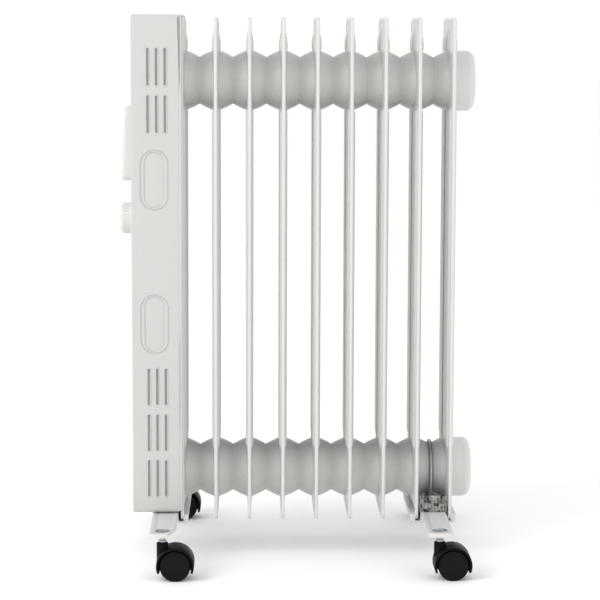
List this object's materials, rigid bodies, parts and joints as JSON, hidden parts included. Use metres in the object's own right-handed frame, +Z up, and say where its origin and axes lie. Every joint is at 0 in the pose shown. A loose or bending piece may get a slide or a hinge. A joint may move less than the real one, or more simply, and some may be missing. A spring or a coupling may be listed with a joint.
{
  "type": "oil filled radiator heater",
  "caption": "Oil filled radiator heater: a row of tall pressed fins on round headers, with a control box at one end, on feet with swivel casters.",
  "frame": {"origin": "centre of the footprint's box at floor level", "axes": "+Z up, +X along the row of fins away from the control box, -Y the heater's right-hand side"},
  "size_m": [0.4028, 0.329, 0.6153],
  "materials": {
    "white_enamel": "stove-enamelled steel sheet, satin",
    "white_abs": "moulded ABS, fine satin texture",
    "black_nylon": "moulded nylon, semi-matt",
    "zinc_steel": "bright zinc-plated steel",
    "brass": "turned brass",
    "amber_lens": "translucent moulded acrylic",
    "phenolic": "moulded heat-resistant thermoset"
  },
  "bodies": {
    "radiator": {"blanking_cap": "white_enamel", "bracket_front": "white_enamel", "bracket_rear": "white_enamel", "cable_gland": "black_nylon", "caster_stem_front_left": "zinc_steel", "caster_stem_front_right": "zinc_steel", "caster_stem_rear_left": "zinc_steel", "caster_stem_rear_right": "zinc_steel", "chassis_plate": "zinc_steel", "control_pod": "white_abs", "element_flange": "brass", "element_socket": "zinc_steel", "end_cap_bottom": "white_enamel", "end_cap_top": "white_enamel", "fin_1": "white_enamel", "fin_2": "white_enamel", "fin_3": "white_enamel", "fin_4": "white_enamel", "fin_5": "white_enamel", "fin_6": "white_enamel", "fin_7": "white_enamel", "fin_8": "white_enamel", "fin_9": "white_enamel", "front_cover": "white_abs", "heating_element": "zinc_steel", "oil_filler_plug": "zinc_steel", "pilot_lens": "amber_lens", "switch_body_left": "black_nylon", "switch_body_right": "black_nylon", "terminal_block": "phenolic", "thermal_cutout": "zinc_steel", "thermostat_body": "phenolic", "tilt_switch_case": "phenolic", "u_bolt_front": "zinc_steel", "u_bolt_rear": "zinc_steel", "wing_nut_front_left": "zinc_steel", "wing_nut_front_right": "zinc_steel", "wing_nut_rear_left": "zinc_steel", "wing_nut_rear_right": "zinc_steel"},
    "caster_front_right": {"caster_hood_front_right": "black_nylon", "caster_axle_front_right": "zinc_steel"},
    "wheels_front_right": {"caster_wheel_front_right_a": "black_nylon", "caster_wheel_front_right_b": "black_nylon"},
    "caster_front_left": {"caster_hood_front_left": "black_nylon", "caster_axle_front_left": "zinc_steel"},
    "wheels_front_left": {"caster_wheel_front_left_a": "black_nylon", "caster_wheel_front_left_b": "black_nylon"},
    "caster_rear_right": {"caster_hood_rear_right": "black_nylon", "caster_axle_rear_right": "zinc_steel"},
    "wheels_rear_right": {"caster_wheel_rear_right_a": "black_nylon", "caster_wheel_rear_right_b": "black_nylon"},
    "caster_rear_left": {"caster_hood_rear_left": "black_nylon", "caster_axle_rear_left": "zinc_steel"},
    "wheels_rear_left": {"caster_wheel_rear_left_a": "black_nylon", "caster_wheel_rear_left_b": "black_nylon"},
    "thermostat_dial": {"thermostat_knob": "white_abs", "thermostat_shaft": "zinc_steel"},
    "rocker_right": {"rocker_right": "black_nylon"},
    "rocker_left": {"rocker_left": "black_nylon"},
    "tilt_weight": {"tilt_pendulum": "zinc_steel"}
  },
  "joints": [
    {"name": "swivel_front_right", "type": "hinge", "parent": "radiator", "child": "caster_front_right", "pos_m": [-0.1487, -0.148, 0.041], "axis": [0, 0, 1], "continuous": true},
    {"name": "roll_front_right", "type": "hinge", "parent": "caster_front_right", "child": "wheels_front_right", "pos_m": [-0.1347, -0.148, 0.01679], "axis": [0, 1, 0], "continuous": true},
    {"name": "swivel_front_left", "type": "hinge", "parent": "radiator", "child": "caster_front_left", "pos_m": [-0.1487, 0.148, 0.041], "axis": [0, 0, 1], "continuous": true},
    {"name": "roll_front_left", "type": "hinge", "parent": "caster_front_left", "child": "wheels_front_left", "pos_m": [-0.1347, 0.148, 0.01679], "axis": [0, 1, 0], "continuous": true},
    {"name": "swivel_rear_right", "type": "hinge", "parent": "radiator", "child": "caster_rear_right", "pos_m": [0.1553, -0.148, 0.041], "axis": [0, 0, 1], "continuous": true},
    {"name": "roll_rear_right", "type": "hinge", "parent": "caster_rear_right", "child": "wheels_rear_right", "pos_m": [0.1693, -0.148, 0.01679], "axis": [0, 1, 0], "continuous": true},
    {"name": "swivel_rear_left", "type": "hinge", "parent": "radiator", "child": "caster_rear_left", "pos_m": [0.1553, 0.148, 0.041], "axis": [0, 0, 1], "continuous": true},
    {"name": "roll_rear_left", "type": "hinge", "parent": "caster_rear_left", "child": "wheels_rear_left", "pos_m": [0.1693, 0.148, 0.01679], "axis": [0, 1, 0], "continuous": true},
    {"name": "thermostat_turn", "type": "hinge", "parent": "radiator", "child": "thermostat_dial", "pos_m": [-0.1897, 0, 0.38409], "axis": [-1, 0, 0], "range_deg": [0, 270]},
    {"name": "rocker_right_tilt", "type": "hinge", "parent": "radiator", "child": "rocker_right", "pos_m": [-0.18951, -0.019, 0.46469], "axis": [0, 1, 0], "range_deg": [0, 14]},
    {"name": "rocker_left_tilt", "type": "hinge", "parent": "radiator", "child": "rocker_left", "pos_m": [-0.18951, 0.019, 0.46469], "axis": [0, 1, 0], "range_deg": [0, 14]},
    {"name": "tilt_swing", "type": "hinge", "parent": "radiator", "child": "tilt_weight", "pos_m": [-0.14945, 0, 0.26099], "axis": [1, 0, 0], "range_deg": [-20, 20]}
  ]
}
